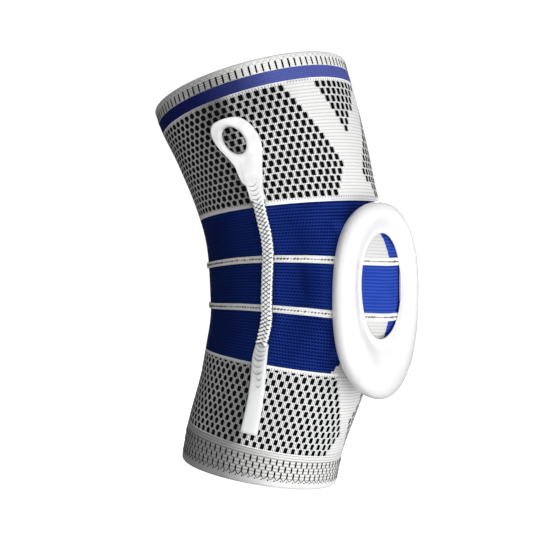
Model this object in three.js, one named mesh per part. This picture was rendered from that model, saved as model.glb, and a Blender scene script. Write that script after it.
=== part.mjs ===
// A knitted knee brace: a tubular sleeve with a silicone ring round the kneecap
// and a flat coil stay down each side. Millimetres, +Z up. The front of the knee
// faces -Y, and the origin is the middle of the knee.
//
// A place on the sleeve is given by its height, measured up the leg from the
// middle of the knee, and its angle round the leg, 0 at the front and positive
// towards +X.

import * as THREE from 'three';

// The sleeve's reach up and down the leg, and its size at three places.
const reach_up = 144;
const reach_down = 129;
const thigh_radius = 69.5;
const knee_radius = 69;
const calf_radius = 54.8;

// How far behind the middle of the knee the two rims lie, because it is bent.
const bend_up = 44.8;
const bend_down = 37.6;

// Thickness of the knit, and the gap that touching pieces keep.
const knit = 2.2;
const clearance = 0.3;

// Borders of the knitted zones.
const upper_cuff_height = 9.8;
const stripe_height = 7.8;
const panel_above = 54.5;
const panel_below = 47.7;
const lower_cuff_height = 27;

// The two raised ribs across the knee panel.
const rib_above = 19.5;
const rib_below = 12.8;
const rib_width = 3.8;
const rib_proud = 0.8;

// The kneecap ring, as it would lie flat: outline, hole and thickness.
const ring_width = 100;
const ring_height = 133;
const ring_drop = 5.8;
const ring_turn = -2;
const hole_width = 55;
const hole_height = 72;
const hole_rise = 7.6;
const ring_thickness = 12;
const ring_egg = 0.02;

// The stays: a flat eyelet head, a coil, and a tail sleeve over the coil's end.
const head_low = 59;
const head_rise = 54;
const head_half_width = 15.2;
const head_thickness = 4;
const eye_height = 0.735;
const eye_half_width = 7.4;
const eye_half_height = 9.3;
const eye_back = 2;
const eye_tilt = 18;
const coil_width = 8.8;
const coil_thickness = 3.4;
const coil_down = 34;
const tail_width = 10.6;
const tail_thickness = 3.6;
const tail_down = 93;

// Fineness of the faceted solids.
const sleeve_sides = 48;
const row_spacing = 11;
const ring_stations = 48;
const head_stations = 30;
const stay_spacing = 7;

// Sections of the sleeve's outer surface, from the lower rim to the upper one.
// height is a share of the reach and setback a share of the bend on its side of
// the knee. lean is how far the section's front edge is raised, in degrees.
// width, front and back are shares of the radius named by leg.
const sections = [
  { height: -1.0, setback: 1.0, lean: -13.5, leg: calf_radius, width: 1.0, front: 1.0, back: 1.0 },
  { height: -0.79, setback: 0.83, lean: -14.0, leg: calf_radius, width: 1.01, front: 1.015, back: 1.015 },
  { height: -0.58, setback: 0.56, lean: -12.8, leg: calf_radius, width: 1.027, front: 1.04, back: 1.036 },
  { height: -0.37, setback: 0.31, lean: -9.6, leg: knee_radius, width: 0.848, front: 0.867, back: 0.858 },
  { height: -0.1, setback: -0.04, lean: -4.4, leg: knee_radius, width: 0.92, front: 0.975, back: 0.971 },
  { height: 0.135, setback: -0.011, lean: 0.4, leg: knee_radius, width: 0.928, front: 0.98, back: 0.978 },
  { height: 0.378, setback: 0.241, lean: 6.4, leg: thigh_radius, width: 0.899, front: 0.914, back: 0.914 },
  { height: 0.68, setback: 0.58, lean: 12.5, leg: thigh_radius, width: 0.954, front: 0.954, back: 0.954 },
  { height: 0.93, setback: 0.915, lean: 18.0, leg: thigh_radius, width: 0.997, front: 0.997, back: 0.997 },
  { height: 1.0, setback: 1.0, lean: 18.0, leg: thigh_radius, width: 1.0, front: 1.0, back: 1.0 },
];

// Where each stay runs: angle from the front of the leg, in degrees.
const stay_path = [
  { height: -0.72, angle: 70.5 },
  { height: -0.47, angle: 74.5 },
  { height: -0.24, angle: 79.5 },
  { height: -0.08, angle: 80.5 },
  { height: 0.12, angle: 79.0 },
  { height: 0.3, angle: 76.2 },
  { height: 0.42, angle: 75.2 },
  { height: 0.8, angle: 77.5 },
];

// Outline of a stay's head: half widths towards the back and the front of the
// leg, as shares of head_half_width, going up it in shares of head_rise.
const head_outline = [
  { along: 0.0, back: 0.31, front: 0.31 },
  { along: 0.2, back: 0.33, front: 0.42 },
  { along: 0.29, back: 0.46, front: 0.53 },
  { along: 0.42, back: 0.49, front: 0.7 },
  { along: 0.54, back: 0.66, front: 0.88 },
  { along: 0.67, back: 0.88, front: 1.0 },
  { along: 0.8, back: 1.0, front: 0.95 },
  { along: 0.91, back: 0.93, front: 0.76 },
  { along: 0.98, back: 0.66, front: 0.42 },
];

// How far the ring's back stands off the sleeve, in shares of its thickness,
// going up the ring in shares of its half height.
const ring_standoff = [
  { height: -1.0, gap: 1.05 },
  { height: -0.75, gap: 1.0 },
  { height: -0.42, gap: 0.2 },
  { height: -0.2, gap: 0.03 },
  { height: 0.0, gap: 0.0 },
  { height: 0.38, gap: 0.01 },
  { height: 0.65, gap: 0.03 },
  { height: 1.0, gap: 0.27 },
];

// Sections through pieces that lie on the sleeve: across from one edge (0) to
// the other (1), and out from the back face (0) to the front (1).
const ring_section = [
  { across: 0.08, out: 0.0 },
  { across: 0.36, out: 0.0 },
  { across: 0.64, out: 0.0 },
  { across: 0.92, out: 0.0 },
  { across: 1.0, out: 0.14 },
  { across: 1.0, out: 0.55 },
  { across: 0.95, out: 0.84 },
  { across: 0.82, out: 0.98 },
  { across: 0.66, out: 1.0 },
  { across: 0.45, out: 0.86 },
  { across: 0.26, out: 0.64 },
  { across: 0.1, out: 0.5 },
  { across: 0.0, out: 0.36 },
  { across: 0.0, out: 0.12 },
];
const head_section = [
  { across: 0.06, out: 0.0 },
  { across: 0.5, out: 0.0 },
  { across: 0.94, out: 0.0 },
  { across: 1.0, out: 0.3 },
  { across: 0.97, out: 0.8 },
  { across: 0.84, out: 1.0 },
  { across: 0.4, out: 1.0 },
  { across: 0.08, out: 0.7 },
];
const strip_section = [
  { across: 0.1, out: 0.0 },
  { across: 0.5, out: 0.0 },
  { across: 0.9, out: 0.0 },
  { across: 1.0, out: 0.45 },
  { across: 0.82, out: 0.9 },
  { across: 0.5, out: 1.0 },
  { across: 0.18, out: 0.9 },
  { across: 0.0, out: 0.45 },
];

// Sections through the cuffs' outer faces, going down from the upper edge in
// shares of the cuff's height, and out in shares of the knit's thickness.
const upper_cuff_section = [
  { down: 0.0, out: -0.4 },
  { down: 0.08, out: 0.05 },
  { down: 0.2, out: 0.2 },
  { down: 0.36, out: 0.15 },
  { down: 0.44, out: 0.0 },
  { down: 1.0, out: 0.0 },
];
const lower_cuff_section = [
  { down: 0.0, out: 0.0 },
  { down: 0.1, out: 0.12 },
  { down: 0.2, out: 0.0 },
  { down: 0.3, out: 0.12 },
  { down: 0.68, out: 0.1 },
  { down: 0.86, out: 0.2 },
  { down: 0.97, out: 0.1 },
  { down: 1.0, out: -0.35 },
];
const rib_section = [
  { down: 0.0, out: 0.0 },
  { down: 0.2, out: 0.8 },
  { down: 0.5, out: 1.0 },
  { down: 0.8, out: 0.8 },
  { down: 1.0, out: 0.0 },
];

const radians = THREE.MathUtils.degToRad;

// A column of a table at a height, on a smooth curve that never overshoots.
function smooth(rows, name, height) {
  const last = rows.length - 1;
  const slope = (i) => (rows[i + 1][name] - rows[i][name]) / (rows[i + 1].height - rows[i].height);
  const tangent = (i) => {
    if (i === 0 || i === last) {
      return slope(Math.min(i, last - 1));
    }
    const product = slope(i - 1) * slope(i);
    return product <= 0 ? 0 : (2 * product) / (slope(i - 1) + slope(i));
  };
  let i = 0;
  while (i < last - 1 && height > rows[i + 1].height) {
    i += 1;
  }
  const span = rows[i + 1].height - rows[i].height;
  const t = (height - rows[i].height) / span;
  const rise = rows[i + 1][name] - rows[i][name];
  const bow = (1 - t) * tangent(i) * span - t * tangent(i + 1) * span + (2 * t - 1) * rise;
  return rows[i][name] + t * rise + t * (1 - t) * bow;
}

const reach = (share) => share * (share > 0 ? reach_up : reach_down);
const bend = (row) => row.setback * (row.height > 0 ? bend_up : bend_down);

const levels = sections.map((row) => ({
  height: reach(row.height),
  setback: bend(row),
  lean: radians(row.lean),
  width: row.width * row.leg,
  front: row.front * row.leg,
  back: row.back * row.leg,
}));
const stay_levels = stay_path.map((row) => ({ height: reach(row.height), angle: radians(row.angle) }));

// The point at a height and angle, a distance out from the sleeve's surface.
function on_leg(height, angle, out) {
  const lean = smooth(levels, 'lean', height);
  const depth = smooth(levels, Math.cos(angle) > 0 ? 'front' : 'back', height) + out;
  const forward = depth * Math.cos(angle);
  return new THREE.Vector3(
    (smooth(levels, 'width', height) + out) * Math.sin(angle),
    smooth(levels, 'setback', height) - forward * Math.cos(lean),
    height + forward * Math.sin(lean),
  );
}

// The height whose section reaches the level z, at an angle and a distance out.
function height_at(z, angle, out) {
  let height = z;
  for (let step = 0; step < 6; step += 1) {
    const forward = (smooth(levels, 'front', height) + out) * Math.cos(angle);
    height = z - forward * Math.sin(smooth(levels, 'lean', height));
  }
  return height;
}

// One closed body through loops of points. The last loop joins the first, or
// else the two end loops are closed with flat caps.
function lofted(loops, joined) {
  const size = loops[0].length;
  const faces = [];
  const steps = joined ? loops.length : loops.length - 1;
  for (let i = 0; i < steps; i += 1) {
    const here = i * size;
    const there = ((i + 1) % loops.length) * size;
    for (let j = 0; j < size; j += 1) {
      const next = (j + 1) % size;
      faces.push([here + j, here + next, there + next], [here + j, there + next, there + j]);
    }
  }
  if (!joined) {
    const end = (loops.length - 1) * size;
    for (let j = 1; j < size - 1; j += 1) {
      faces.push([0, j + 1, j], [end, end + j, end + j + 1]);
    }
  }
  const points = loops.flat();
  const volume = faces.reduce((sum, [a, b, c]) => sum + points[a].dot(points[b].clone().cross(points[c])), 0);
  const outward = volume > 0 ? faces : faces.map(([a, b, c]) => [a, c, b]);
  const geometry = new THREE.BufferGeometry().setFromPoints(points);
  geometry.setIndex(outward.flat());
  geometry.computeVertexNormals();
  return geometry;
}

// Knitted zones

// A tube of knit between two heights. Its section is a closed outline of
// heights and distances out from the sleeve's surface.
function tube(outline) {
  const loops = [];
  for (let i = 0; i < sleeve_sides; i += 1) {
    const angle = (i / sleeve_sides) * 2 * Math.PI;
    loops.push(outline.map((point) => on_leg(point.height, angle, point.out)));
  }
  return lofted(loops, true);
}

// Heights from one to another, evenly spaced, both ends included.
function even_heights(from, to) {
  const steps = Math.max(1, Math.ceil(Math.abs(from - to) / row_spacing));
  return Array.from({ length: steps + 1 }, (_, i) => from + ((to - from) * i) / steps);
}

function plain_tube(top, bottom) {
  const outer = even_heights(top, bottom).map((height) => ({ height, out: 0 }));
  const inner = even_heights(bottom, top).map((height) => ({ height, out: -knit }));
  return tube([...outer, ...inner]);
}

// A tube whose outer face is shaped by a section going down it.
function shaped_tube(top, bottom, section, relief) {
  const outer = section.map((row) => ({ height: top - row.down * (top - bottom), out: row.out * relief }));
  const inner = even_heights(bottom, top).map((height) => ({ height, out: -knit }));
  return tube([...outer, ...inner]);
}

function rib(middle) {
  return shaped_tube(middle + rib_width / 2, middle - rib_width / 2, rib_section, rib_proud);
}

// The kneecap ring

// The ring's flat outline or hole at a turn round it, 0 at the top.
function oval(turn, width, height, rise) {
  const egg = 1 + ring_egg * Math.cos(turn);
  return { across: (width / 2) * egg * Math.sin(turn), up: rise + (height / 2) * Math.cos(turn) };
}

// A point of the ring: a place on its flat shape, and how far out of its back.
function on_ring(across, up, out) {
  const angle = radians(ring_turn) + across / knee_radius;
  const gap = smooth(ring_standoff, 'gap', (2 * up) / ring_height) * ring_thickness;
  const reached = rib_proud + clearance + gap + out;
  return on_leg(height_at(up - ring_drop, angle, reached), angle, reached);
}

function patella_ring() {
  const loops = [];
  for (let i = 0; i < ring_stations; i += 1) {
    const turn = (i / ring_stations) * 2 * Math.PI;
    const hole = oval(turn, hole_width, hole_height, hole_rise);
    const rim = oval(turn, ring_width, ring_height, 0);
    loops.push(ring_section.map((row) => on_ring(
      hole.across + row.across * (rim.across - hole.across),
      hole.up + row.across * (rim.up - hole.up),
      row.out * ring_thickness,
    )));
  }
  return lofted(loops, true);
}

// The side stays

// A point of a stay: across is towards the front of the leg. side is -1 for
// the stay at -X and 1 for the one at +X.
function on_stay(side, across, height, out) {
  const turn = across / smooth(levels, 'front', height);
  return on_leg(height, side * (smooth(stay_levels, 'angle', height) - turn), out);
}

// A strip along the stay's path, with a width, a thickness and a seat height.
function strip(side, top, bottom, width, thickness, seat) {
  const steps = Math.ceil((top - bottom) / stay_spacing);
  const loops = [];
  for (let i = 0; i <= steps; i += 1) {
    const height = top + ((bottom - top) * i) / steps;
    loops.push(strip_section.map((row) => (
      on_stay(side, (row.across - 0.5) * width, height, seat + row.out * thickness))));
  }
  return lofted(loops, false);
}

// An eyelet head: its outline is drawn flat round its eye, and laid on the leg.
function stay_head(side) {
  const corner = (row, edge) => new THREE.Vector3(edge * head_half_width, row.along * head_rise, 0);
  const up = head_outline.map((row) => corner(row, row.front));
  const down = head_outline.toReversed().map((row) => corner(row, -row.back));
  const outline = new THREE.CurvePath();
  outline.add(new THREE.CatmullRomCurve3([...up, ...down]));
  outline.closePath();
  const middle = new THREE.Vector3(-eye_back, eye_height * head_rise, 0);
  const tilt = radians(eye_tilt);
  const loops = outline.getSpacedPoints(head_stations).slice(0, head_stations).map((rim) => {
    const ray = rim.clone().sub(middle);
    const bearing = Math.atan2(ray.y, ray.x) - tilt;
    const radius = 1 / Math.hypot(Math.cos(bearing) / eye_half_width, Math.sin(bearing) / eye_half_height);
    const eye = ray.clone().setLength(radius).add(middle);
    return head_section.map((row) => {
      const place = eye.clone().lerp(rim, row.across);
      return on_stay(side, place.x, head_low + place.y, clearance + row.out * head_thickness);
    });
  });
  return lofted(loops, true);
}

// Finishes

const finish = (color, roughness, metalness = 0) => (
  new THREE.MeshStandardMaterial({ color, roughness, metalness }));
const cuff_knit = finish(0xd6d6d2, 0.9);
const mesh_knit = finish(0xbdbdba, 0.9);
const blue_knit = finish(0x0b1f78, 0.85);
const white_knit = finish(0xeeeeec, 0.85);
const silicone = finish(0xf4f4f6, 0.25);
const stay_plastic = finish(0xf6f6f5, 0.3);
const stay_coil = finish(0xe4e6ea, 0.4, 0.2);
const stay_sleeve = finish(0xdfe2e6, 0.35);

// Assembly

const brace = new THREE.Group();

function add(name, geometry, material) {
  const mesh = new THREE.Mesh(geometry, material);
  mesh.name = name;
  brace.add(mesh);
}

// Half of the gap that neighbouring zones keep between their edges.
const edge = clearance / 2;
const stripe_top = reach_up - upper_cuff_height;
const stripe_bottom = stripe_top - stripe_height;
const cuff_top = lower_cuff_height - reach_down;
const rib_edge = rib_width / 2 + clearance;

add('upper_cuff', shaped_tube(reach_up, stripe_top + edge, upper_cuff_section, knit), cuff_knit);
add('upper_stripe', plain_tube(stripe_top - edge, stripe_bottom + edge), blue_knit);
add('thigh_sleeve', plain_tube(stripe_bottom - edge, panel_above + edge), mesh_knit);
add('knee_panel_upper', plain_tube(panel_above - edge, rib_above + rib_edge), blue_knit);
add('knee_rib_upper', rib(rib_above), white_knit);
add('knee_panel_middle', plain_tube(rib_above - rib_edge, rib_edge - rib_below), blue_knit);
add('knee_rib_lower', rib(-rib_below), white_knit);
add('knee_panel_lower', plain_tube(-rib_below - rib_edge, edge - panel_below), blue_knit);
add('calf_sleeve', plain_tube(-panel_below - edge, cuff_top + edge), mesh_knit);
add('lower_cuff', shaped_tube(cuff_top - edge, -reach_down, lower_cuff_section, knit), cuff_knit);
add('patella_ring', patella_ring(), silicone);

for (const [name, side] of [['right', -1], ['left', 1]]) {
  const coil_seat = rib_proud + clearance;
  const coil = strip(side, head_low - clearance, -coil_down, coil_width, coil_thickness, coil_seat);
  const tail = strip(side, -coil_down - clearance, -tail_down, tail_width, tail_thickness, clearance);
  add(`stay_${name}_head`, stay_head(side), stay_plastic);
  add(`stay_${name}_coil`, coil, stay_coil);
  add(`stay_${name}_tail`, tail, stay_sleeve);
}

export default brace;
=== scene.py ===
# A knitted knee brace with a silicone ring round the kneecap and a coil stay
# down each side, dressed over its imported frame. Metres in Blender; the leg's
# own measures below are in millimetres, as they are on the drawing.
#
# A place on the sleeve is a height up the leg from the middle of the knee and
# an angle round it, 0 at the front and positive towards +X.

import math

import bpy
import mathutils
import numpy as np
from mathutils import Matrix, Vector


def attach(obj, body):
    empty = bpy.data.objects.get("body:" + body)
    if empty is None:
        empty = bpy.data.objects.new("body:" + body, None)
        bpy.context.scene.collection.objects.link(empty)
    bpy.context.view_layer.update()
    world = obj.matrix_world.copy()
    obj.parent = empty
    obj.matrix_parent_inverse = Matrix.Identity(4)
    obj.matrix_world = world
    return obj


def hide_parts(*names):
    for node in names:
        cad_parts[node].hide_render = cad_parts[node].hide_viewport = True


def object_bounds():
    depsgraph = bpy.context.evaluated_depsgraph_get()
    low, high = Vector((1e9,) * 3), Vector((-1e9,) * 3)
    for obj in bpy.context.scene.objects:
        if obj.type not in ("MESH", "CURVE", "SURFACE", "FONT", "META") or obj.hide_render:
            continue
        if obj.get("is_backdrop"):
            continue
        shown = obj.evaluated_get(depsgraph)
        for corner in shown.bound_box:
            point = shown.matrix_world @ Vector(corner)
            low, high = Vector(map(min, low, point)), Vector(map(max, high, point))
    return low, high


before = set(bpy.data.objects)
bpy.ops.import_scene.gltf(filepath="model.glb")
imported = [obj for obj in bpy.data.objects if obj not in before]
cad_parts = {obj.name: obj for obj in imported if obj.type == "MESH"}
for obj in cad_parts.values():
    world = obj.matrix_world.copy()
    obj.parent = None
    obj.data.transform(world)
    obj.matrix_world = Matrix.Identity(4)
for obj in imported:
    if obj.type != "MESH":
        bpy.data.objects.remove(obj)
cad_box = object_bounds()

MM = 0.001

# Camera: the photograph's bearing, distance, lens, and the point it looks at,
# as millimetres across and up the picture from the middle of the knee.
camera_azimuth = -57.3
camera_elevation = 0.5
camera_distance = 1.5
camera_lens = 137.76
camera_aim = (-16.1, 7.0)

# The sleeve: sections as height, setback, lean, half width, front and back.
reach_up = 144.0
reach_down = 129.0
knit = 2.2
clearance = 0.3
sections = np.array([
    (-129.0, 37.6, -13.5, 54.8, 54.8, 54.8),
    (-101.91, 31.208, -14.0, 55.348, 55.622, 55.622),
    (-74.82, 21.056, -12.8, 56.28, 56.992, 56.773),
    (-47.73, 11.656, -9.6, 58.512, 59.823, 59.202),
    (-12.9, -1.504, -4.4, 63.48, 67.275, 66.999),
    (19.44, -0.4928, 0.4, 64.032, 67.62, 67.482),
    (54.432, 10.7968, 6.4, 62.4805, 63.523, 63.523),
    (97.92, 25.984, 12.5, 66.303, 66.303, 66.303),
    (133.92, 40.992, 18.0, 69.2915, 69.2915, 69.2915),
    (144.0, 44.8, 18.0, 69.5, 69.5, 69.5),
])

# Borders of the knitted zones, from the top rim down.
stripe_top = 134.2
stripe_bottom = 126.4
panel_top = 54.5
rib_above = 19.5
rib_below = -12.8
rib_half = 2.3
rib_proud = 0.8
panel_bottom = -47.7
cuff_top = -102.0
upper_columns = 92
lower_columns = 76
kneecap_top = 44.0
kneecap_stair = 3.3

# Rows of the cuffs: heights of their ladder, points, welts, grooves and bricks.
ladder_top = 140.4
points_foot = 139.6
points_rise = 2.5
upper_welt = 142.2
lower_welt = -124.2
grooves = (-102.7, -104.7, -106.5)
bricks_top = -106.6
bricks_foot = -121.4
brick_rise = 2.4

# The stay's path, as height and angle, and its parts.
stay_path = np.array([
    (-92.88, 70.5), (-60.63, 74.5), (-30.96, 79.5), (-10.32, 80.5),
    (17.28, 79.0), (43.2, 76.2), (60.48, 75.2), (115.2, 77.5),
])
head_low = 59.0
head_rise = 54.0
head_half_width = 15.2
head_thickness = 4.0
# The head's outline as shares: height, then half width behind and in front.
head_outline = np.array([
    (0.0, 0.31, 0.31), (0.1, 0.3, 0.33), (0.175, 0.31, 0.38), (0.205, 0.4, 0.42),
    (0.29, 0.48, 0.53), (0.42, 0.5, 0.7), (0.54, 0.66, 0.88), (0.67, 0.88, 1.0),
    (0.8, 1.0, 0.95), (0.91, 0.93, 0.76), (0.98, 0.66, 0.42),
])
eye_height = 0.735
eye_half_width = 7.4
eye_half_height = 9.3
eye_back = 2.0
eye_tilt = 18.0
coil_width = 8.8
coil_thickness = 3.4
coil_down = 34.0
wire_pitch = 2.9
wire_lean = 36.0
wire_size = (2.0, 10.0, 1.45)
wire_gap = (0.4, 8.2, 0.3)
wire_end = (8.4, 1.7, 1.8)
tail_width = 10.6
tail_thickness = 3.6
tail_down = 93.0

# The kneecap ring. Its ovals: width, height, middle, how far they narrow
# downwards, and lean.
knee_radius = 69.0
ring_height = 133.0
ring_drop = 5.8
ring_turn = -2.0
ring_rim = (101.5, 130.5, (0.7, -1.4), 0.02, -0.05)
ring_hole = (51.5, 71.5, (-2.2, 8.9), 0.09, 0.09)
ring_thickness = 12.0
ring_steps = 180
# How far its back stands off the knit, by height, as shares.
ring_standoff = np.array([
    (-1.0, 1.05), (-0.75, 1.0), (-0.42, 0.2), (-0.2, 0.03),
    (0.0, 0.0), (0.38, 0.01), (0.65, 0.03), (1.0, 0.27),
])

# The knit's own map: the whole turn across, and these heights up.
map_base = 150.0
map_span = 300.0
turn_steps = 480

# Loops round the leg in the blue panel, the ribs and the fine white knit.
blue_loops = 190
rib_loops = 250
fine_loops = 300

# Creases on each side of the leg: height, angle, slope, width, length, depth;
# a negative depth is a swell. A degree is so many millimetres of knit.
degree_wide = 1.12
creases = [
    (6.0, -60.0, -0.22, 3.2, 15.0, 1.0),
    (8.0, -66.5, -0.2, 3.0, 15.0, -0.35),
    (-30.0, -52.0, -0.35, 4.0, 12.0, 0.5),
    *((36.5, -67.0 + 2.3 * k, -0.14, 0.75, 6.0, 0.3) for k in range(4)),
    (86.0, -62.0, 0.25, 6.0, 22.0, 0.5),
    (96.0, -112.0, 0.1, 9.0, 26.0, 0.7),
    (-76.0, -60.0, -0.2, 6.0, 18.0, 0.4),
    (-80.0, -105.0, 0.1, 8.0, 20.0, 0.5),
]


# The leg's shape

def smooth(rows, column, height):
    """A column of a table at heights, on a curve that never overshoots."""
    at, value = rows[:, 0], rows[:, column]
    slope = np.diff(value) / np.diff(at)
    product = slope[:-1] * slope[1:]
    total = slope[:-1] + slope[1:]
    inner = np.where(product > 0, 2 * product / np.where(product > 0, total, 1), 0)
    tangent = np.concatenate([slope[:1], inner, slope[-1:]])
    height = np.asarray(height, float)
    i = np.clip(np.searchsorted(at, height) - 1, 0, len(at) - 2)
    span = at[i + 1] - at[i]
    t = (height - at[i]) / span
    rise = value[i + 1] - value[i]
    bow = (1 - t) * tangent[i] * span - t * tangent[i + 1] * span + (2 * t - 1) * rise
    return value[i] + t * rise + t * (1 - t) * bow


def on_leg(height, angle, out):
    """Points in millimetres at heights and angles (radians), a distance out."""
    height, angle, out = np.broadcast_arrays(np.asarray(height, float), angle, out)
    lean = np.radians(smooth(sections, 2, height))
    front, behind = smooth(sections, 4, height), smooth(sections, 5, height)
    depth = np.where(np.cos(angle) > 0, front, behind) + out
    forward = depth * np.cos(angle)
    return np.stack([
        (smooth(sections, 3, height) + out) * np.sin(angle),
        smooth(sections, 1, height) - forward * np.cos(lean),
        height + forward * np.sin(lean),
    ], -1)


def height_at(z, angle, out):
    height = z
    for _ in range(6):
        forward = (smooth(sections, 4, height) + out) * np.cos(angle)
        height = z - forward * np.sin(np.radians(smooth(sections, 2, height)))
    return height


def on_stay(side, across, height, out):
    turn = across / smooth(sections, 4, height)
    return on_leg(height, side * (np.radians(smooth(stay_path, 1, height)) - turn), out)


def on_ring(across, up, out):
    angle = math.radians(ring_turn) + across / knee_radius
    gap = smooth(ring_standoff, 1, 2 * up / ring_height) * ring_thickness
    reached = rib_proud + clearance + gap + out
    return on_leg(height_at(up - ring_drop, angle, reached), angle, reached)


# The knit's courses don't run quite level: they ride up over the sides and
# droop behind. Angle in degrees, and how far the courses lie above their height.
course_wave = np.array([
    (0.0, -0.4), (30.0, 0.2), (58.0, 1.5), (78.0, 1.9), (100.0, 1.0), (135.0, -2.0),
    (180.0, -2.8),
])


def course(height, angle):
    """The height on the leg of a course of the knit, at an angle."""
    turn = np.abs((np.degrees(angle) + 180) % 360 - 180)
    rise = np.interp(turn, course_wave[:, 0], course_wave[:, 1])
    fade = np.interp(height, [-60, -13, 20, 66], [0, 1, 1, 0])
    # The lower rim is drawn up, most at the front.
    down = np.clip((cuff_top - height) / (cuff_top + reach_down), 0, 1)
    return height + rise * fade + down * (1.6 + 2.2 * np.cos(angle))


def folds(height, angle):
    """How far the knit stands out or in where it creases over the joint."""
    angle = (np.degrees(angle) + 180) % 360 - 180
    out = np.zeros(np.broadcast(height, angle).shape)
    for side in (1, -1):
        for at, turned, slope, wide, tall, deep in creases:
            up = height - at
            across = (side * angle - turned - up * slope) * degree_wide
            out -= deep * np.exp(-(across / wide) ** 2 - (up / tall) ** 2)
    ripple = np.sin(np.radians(angle) * 9 + height * 0.11)
    return out + 0.12 * ripple * np.cos(height * 0.07 + 1.0)


# Mesh making

def linked(name, data):
    """An object in the scene, of a mesh, a light or a camera."""
    made = bpy.data.objects.new(name, data)
    bpy.context.scene.collection.objects.link(made)
    return made


def piece_of(name, points, faces, materials, corner_uv=None, face_material=None, sharp=40):
    """An object from points in millimetres, its faces turned outwards."""
    points = np.asarray(points, float) * MM
    thirds = np.array([
        (face[0], face[k], face[k + 1]) for face in faces for k in range(1, len(face) - 1)])
    first, second, third = (points[thirds[:, k]] for k in range(3))
    if np.einsum("ij,ij", first, np.cross(second, third)) < 0:
        faces = [tuple(reversed(face)) for face in faces]
        if corner_uv is not None:
            corner_uv = [list(reversed(row)) for row in corner_uv]
    mesh = bpy.data.meshes.new(name)
    mesh.from_pydata(points.tolist(), [], faces)
    for material in materials:
        mesh.materials.append(material)
    if face_material is not None:
        mesh.polygons.foreach_set("material_index", face_material)
    if corner_uv is not None:
        layer = mesh.uv_layers.new(name="Knit")
        flat = np.array([uv for row in corner_uv for uv in row], "f").ravel()
        layer.data.foreach_set("uv", flat)
    mesh.shade_smooth()
    mesh.set_sharp_from_angle(angle=math.radians(sharp))
    mesh.update()
    return linked(name, mesh)


def lofted(name, loops, closed, materials, uv=None, sharp=40, zone=None):
    """A solid through loops of points, closed into a round or with its ends capped.

    uv gives (u, v), and zone a material's number, for a loop and a point.
    """
    count, size = loops.shape[:2]
    faces, corner_uv, zones = [], [], []
    for i in range(count if closed else count - 1):
        here, there = i * size, ((i + 1) % count) * size
        for j in range(size):
            k = (j + 1) % size
            faces.append((here + j, here + k, there + k, there + j))
            if uv:
                corner_uv.append([uv(i, j), uv(i, j + 1), uv(i + 1, j + 1), uv(i + 1, j)])
            if zone:
                zones.append(zone(i, j))
    if not closed:
        end = (count - 1) * size
        faces.append(tuple(range(size - 1, -1, -1)))
        faces.append(tuple(range(end, end + size)))
        if uv:
            corner_uv.append([uv(0, j) for j in range(size - 1, -1, -1)])
            corner_uv.append([uv(count - 1, j) for j in range(size)])
    return piece_of(name, loops.reshape(-1, 3), faces, materials, corner_uv if uv else None,
                    zones if zone else None, sharp)


def rounded(points, count, closed=True):
    """Points spread evenly along a smooth curve through a few (centripetal)."""
    points = np.asarray(points, float)
    if closed:
        points = np.concatenate([points[-2:], points, points[:2]])
    else:
        before, after = 2 * points[:1] - points[1:2], 2 * points[-1:] - points[-2:-1]
        points = np.concatenate([before, points, after])
    steps = np.linalg.norm(np.diff(points, axis=0), axis=1)
    knots = np.concatenate([[0], np.cumsum(np.sqrt(steps))])
    dense = []
    for i in range(2 if closed else 1, len(points) - 2):
        t0, t1, t2, t3 = knots[i - 1:i + 3]
        p0, p1, p2, p3 = points[i - 1:i + 3]
        t = np.linspace(t1, t2, 24, endpoint=False)[:, None]
        a1 = (t1 - t) / (t1 - t0) * p0 + (t - t0) / (t1 - t0) * p1
        a2 = (t2 - t) / (t2 - t1) * p1 + (t - t1) / (t2 - t1) * p2
        a3 = (t3 - t) / (t3 - t2) * p2 + (t - t2) / (t3 - t2) * p3
        b1 = (t2 - t) / (t2 - t0) * a1 + (t - t0) / (t2 - t0) * a2
        b2 = (t3 - t) / (t3 - t1) * a2 + (t - t1) / (t3 - t1) * a3
        dense.append((t2 - t) / (t2 - t1) * b1 + (t - t1) / (t2 - t1) * b2)
    dense = np.concatenate(dense + [dense[0][:1] if closed else points[-2:-1]])
    along = np.concatenate([[0], np.cumsum(np.linalg.norm(np.diff(dense, axis=0), axis=1))])
    where = np.linspace(0, along[-1], count, endpoint=not closed)
    return np.stack([np.interp(where, along, dense[:, k]) for k in range(points.shape[1])], 1)


# Materials and node trees

class Value:
    """A socket that can stand in an expression."""

    def __init__(self, tree, socket):
        self.tree, self.socket = tree, socket

    def __add__(self, other):
        return self.tree.math("ADD", self, other)

    def __sub__(self, other):
        return self.tree.math("SUBTRACT", self, other)

    def __rsub__(self, other):
        return self.tree.math("SUBTRACT", other, self)

    def __mul__(self, other):
        return self.tree.math("MULTIPLY", self, other)

    def __truediv__(self, other):
        return self.tree.math("DIVIDE", self, other)

    def __mod__(self, other):
        return self.tree.math("FLOORED_MODULO", self, other)

    def __gt__(self, other):
        return self.tree.math("GREATER_THAN", self, other)

    def __lt__(self, other):
        return self.tree.math("LESS_THAN", self, other)

    def __abs__(self):
        return self.tree.math("ABSOLUTE", self)

    def floor(self):
        return self.tree.math("FLOOR", self)

    def wave(self):
        """1 at whole numbers, 0 half way between."""
        return self.tree.math("COSINE", self * (2 * math.pi)) * 0.5 + 0.5

    def clear(self):
        """Held between 0 and 1."""
        return self.tree.math("MINIMUM", self.tree.math("MAXIMUM", self, 0), 1)

    def peak(self, middle, half):
        """1 at a middle, falling to 0 a half width away."""
        return (1 - abs(self - middle) / half).clear()

    def most(self, other):
        return self.tree.math("MAXIMUM", self, other)

    __radd__ = __add__
    __rmul__ = __mul__


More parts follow.
